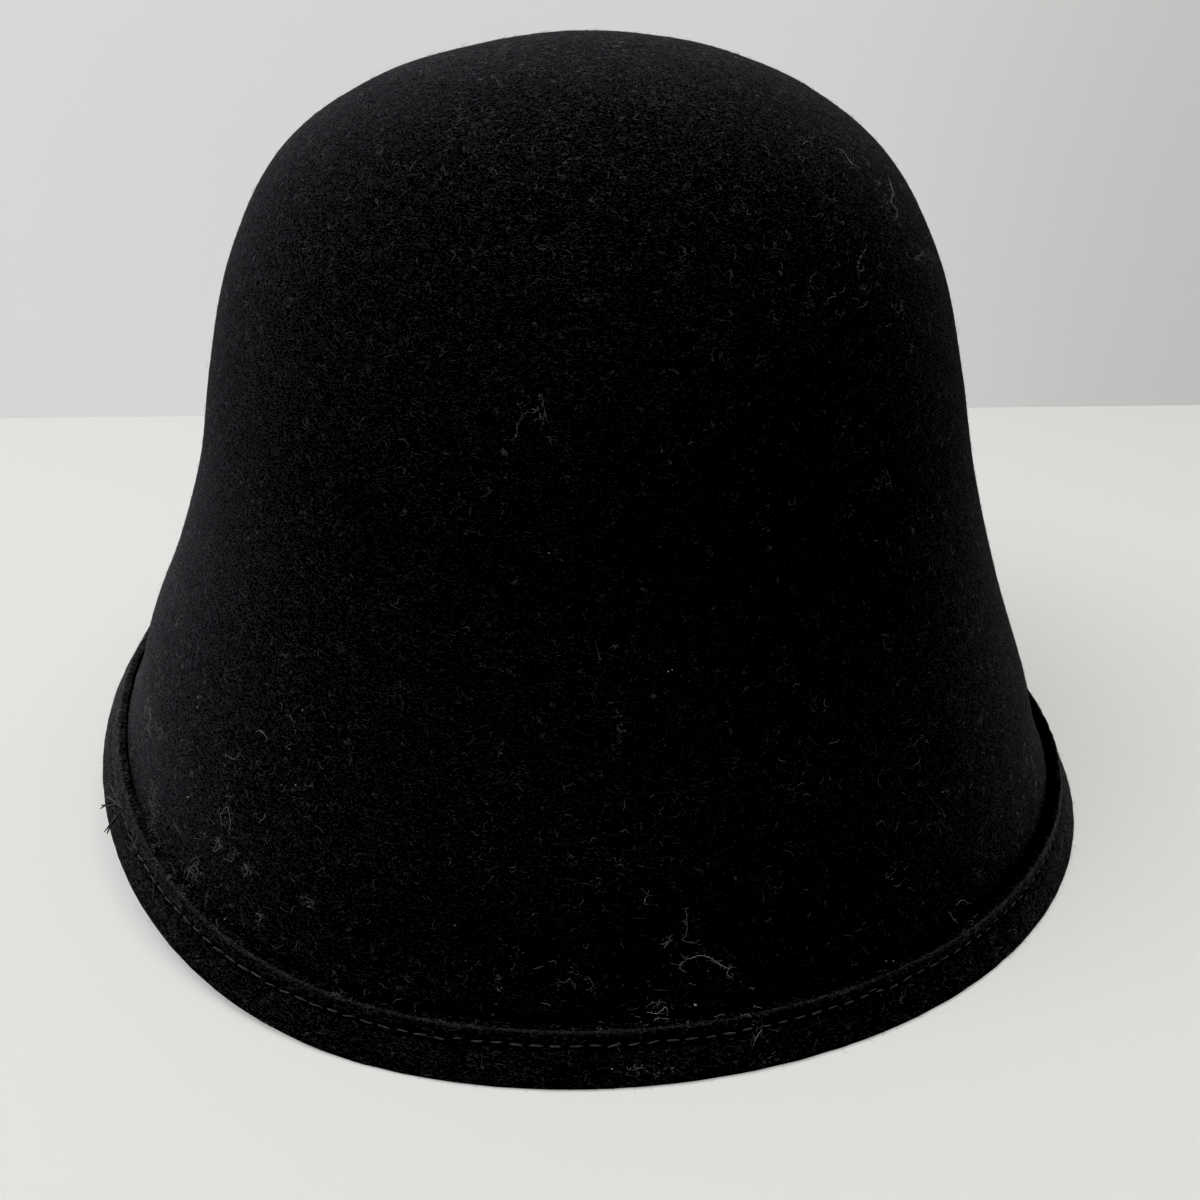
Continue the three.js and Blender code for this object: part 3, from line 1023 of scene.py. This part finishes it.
room = {
    "wallAt": 0.27, "wallTurn": 7.0, "sheetHalf": 3,
    "roughness": 0.8, "specular": 0.1,
    "fade": (0.04, 0.3),  # the glow fades between these, towards the right
    "seen": 0.6, "glow": 0.04,  # how strongly the backdrop shows, and lights the hat
    "blackLevel": 0.0042,
}


def stageMaterial(name, colour, glow, rightShare):  # painted light: it glows, and less at the right, away from the window
    material, w, shader, output = newMaterial(name)
    shader.inputs["Base Color"].default_value = colour
    shader.inputs["Roughness"].default_value = room["roughness"]
    shader.inputs["Specular IOR Level"].default_value = room["specular"]
    place = w.add("ShaderNodeSeparateXYZ")
    w.join(w.add("ShaderNodeTexCoord").outputs["Object"], place.inputs[0])
    dimmer = tuple(c * rightShare for c in colour[:3]) + (1,)
    glowing = w.mixColor(w.band(place.outputs["X"], *room["fade"]), colour, dimmer)
    w.join(glowing, shader.inputs["Emission Color"])
    shader.inputs["Emission Strength"].default_value = glow
    clear = w.add("ShaderNodeBsdfTransparent")  # seen from behind it doesn't hide the hat
    sides = w.add("ShaderNodeMixShader")
    w.join(w.add("ShaderNodeNewGeometry").outputs["Backfacing"], sides.inputs[0])
    w.join(shader.outputs["BSDF"], sides.inputs[1])
    w.join(clear.outputs["BSDF"], sides.inputs[2])
    w.join(sides.outputs[0], output.inputs["Surface"])
    return material


def flatSheet(name, material, matrix):
    half = room["sheetHalf"]
    corners = [matrix @ Vector((x * half, y * half, 0)) for x, y in ((-1, -1), (1, -1), (1, 1), (-1, 1))]
    return meshPiece(name, corners, [[0, 1, 2, 3]], material, smooth=False)


# the table's glow is painted light that lifts the shade and the hat's shadow on it
table = flatSheet("table", stageMaterial("tablePale", (0.248, 0.25, 0.241, 1), 1.33, 1.0), Matrix.Identity(4))
upright = (Matrix.Rotation(math.radians(room["wallTurn"]), 4, "Z") @ Matrix.Translation((0, room["wallAt"], 0))
           @ Matrix.Rotation(math.radians(90), 4, "X"))
wall = flatSheet("wall", stageMaterial("wallPale", (0.4, 0.403, 0.398, 1), 0.87, 0.68), upright)


def softLight(name, place, target, size, power, colour):
    data = bpy.data.lights.new(name, "AREA")
    data.shape = "RECTANGLE"
    data.size, data.size_y = size
    data.energy = power
    data.color = colour
    light = bpy.data.objects.new(name, data)
    bpy.context.scene.collection.objects.link(light)
    light.location = place
    light.rotation_euler = (Vector(target) - Vector(place)).to_track_quat("-Z", "Y").to_euler()


# place, what it points at, its two sides, watts and colour
softLight("windowLight", (-0.72, -0.15, 1.32), (0, 0, 0.05), (1.0, 1.0), 32, (0.95, 0.98, 1.0))
softLight("ceilingLight", (0.45, -0.05, 1.5), (0, 0, 0), (2.0, 0.6), 21, (1.0, 0.99, 0.96))
softLight("roomLight", (1.1, 0.1, 1.0), (0, 0, 0), (0.9, 0.9), 0.8, (1.0, 0.98, 0.94))

world = bpy.data.worlds.new("room")
bpy.context.scene.world = world
world.use_nodes = True
sky = Wiring(world.node_tree)
backdrop = world.node_tree.nodes["Background"]
backdrop.inputs["Color"].default_value = (0.9, 0.92, 0.95, 1)
seen = sky.add("ShaderNodeLightPath").outputs["Is Camera Ray"]  # pale to look at, but it lights the hat faintly
sky.join(sky.math("MULTIPLY_ADD", seen, room["seen"], room["glow"]), backdrop.inputs["Strength"])

cameraData = bpy.data.cameras.new("photoCamera")
cameraData.sensor_width = cameraSpot["sensor"]
cameraData.lens = cameraSpot["focal"]
cameraData.clip_start = 0.01
photoCamera = bpy.data.objects.new("photoCamera", cameraData)
bpy.context.scene.collection.objects.link(photoCamera)
photoCamera.matrix_world = cameraTurn
bpy.context.scene.camera = photoCamera
view = bpy.context.scene.view_settings
view.view_transform = "Standard"
view.use_curve_mapping = True
view.curve_mapping.black_level = [room["blackLevel"]] * 3
print("stage set")
